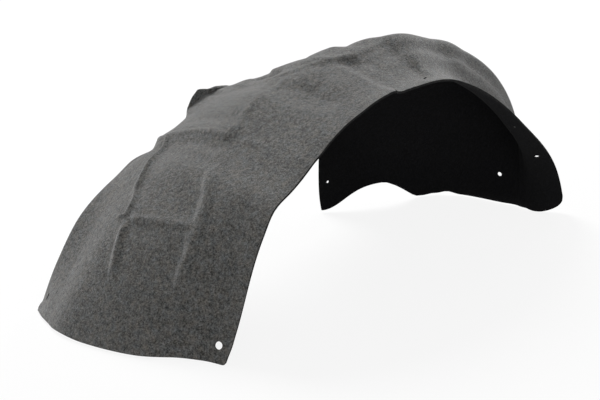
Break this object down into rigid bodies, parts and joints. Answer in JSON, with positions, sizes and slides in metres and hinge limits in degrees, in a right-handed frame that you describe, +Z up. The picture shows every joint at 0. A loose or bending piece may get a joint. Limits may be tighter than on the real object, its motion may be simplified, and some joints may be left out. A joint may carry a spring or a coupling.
{
  "type": "wheel arch liner",
  "caption": "Moulded needle-felt wheel arch liner: an open curved shell with a flange along its rim, embossed beads and pads, a fixing tab and pierced holes.",
  "frame": {"origin": "on the floor, under the middle of the part's bounding box", "axes": "+X along the arch from the near foot to the far foot, +Y from the outboard rim inboard, +Z up; the wheel's axis runs along Y"},
  "size_m": [0.7856, 0.277, 0.3079],
  "materials": {
    "felt": "matte, speckled needle felt"
  },
  "bodies": {
    "root": {"liner": "felt"}
  },
  "joints": []
}
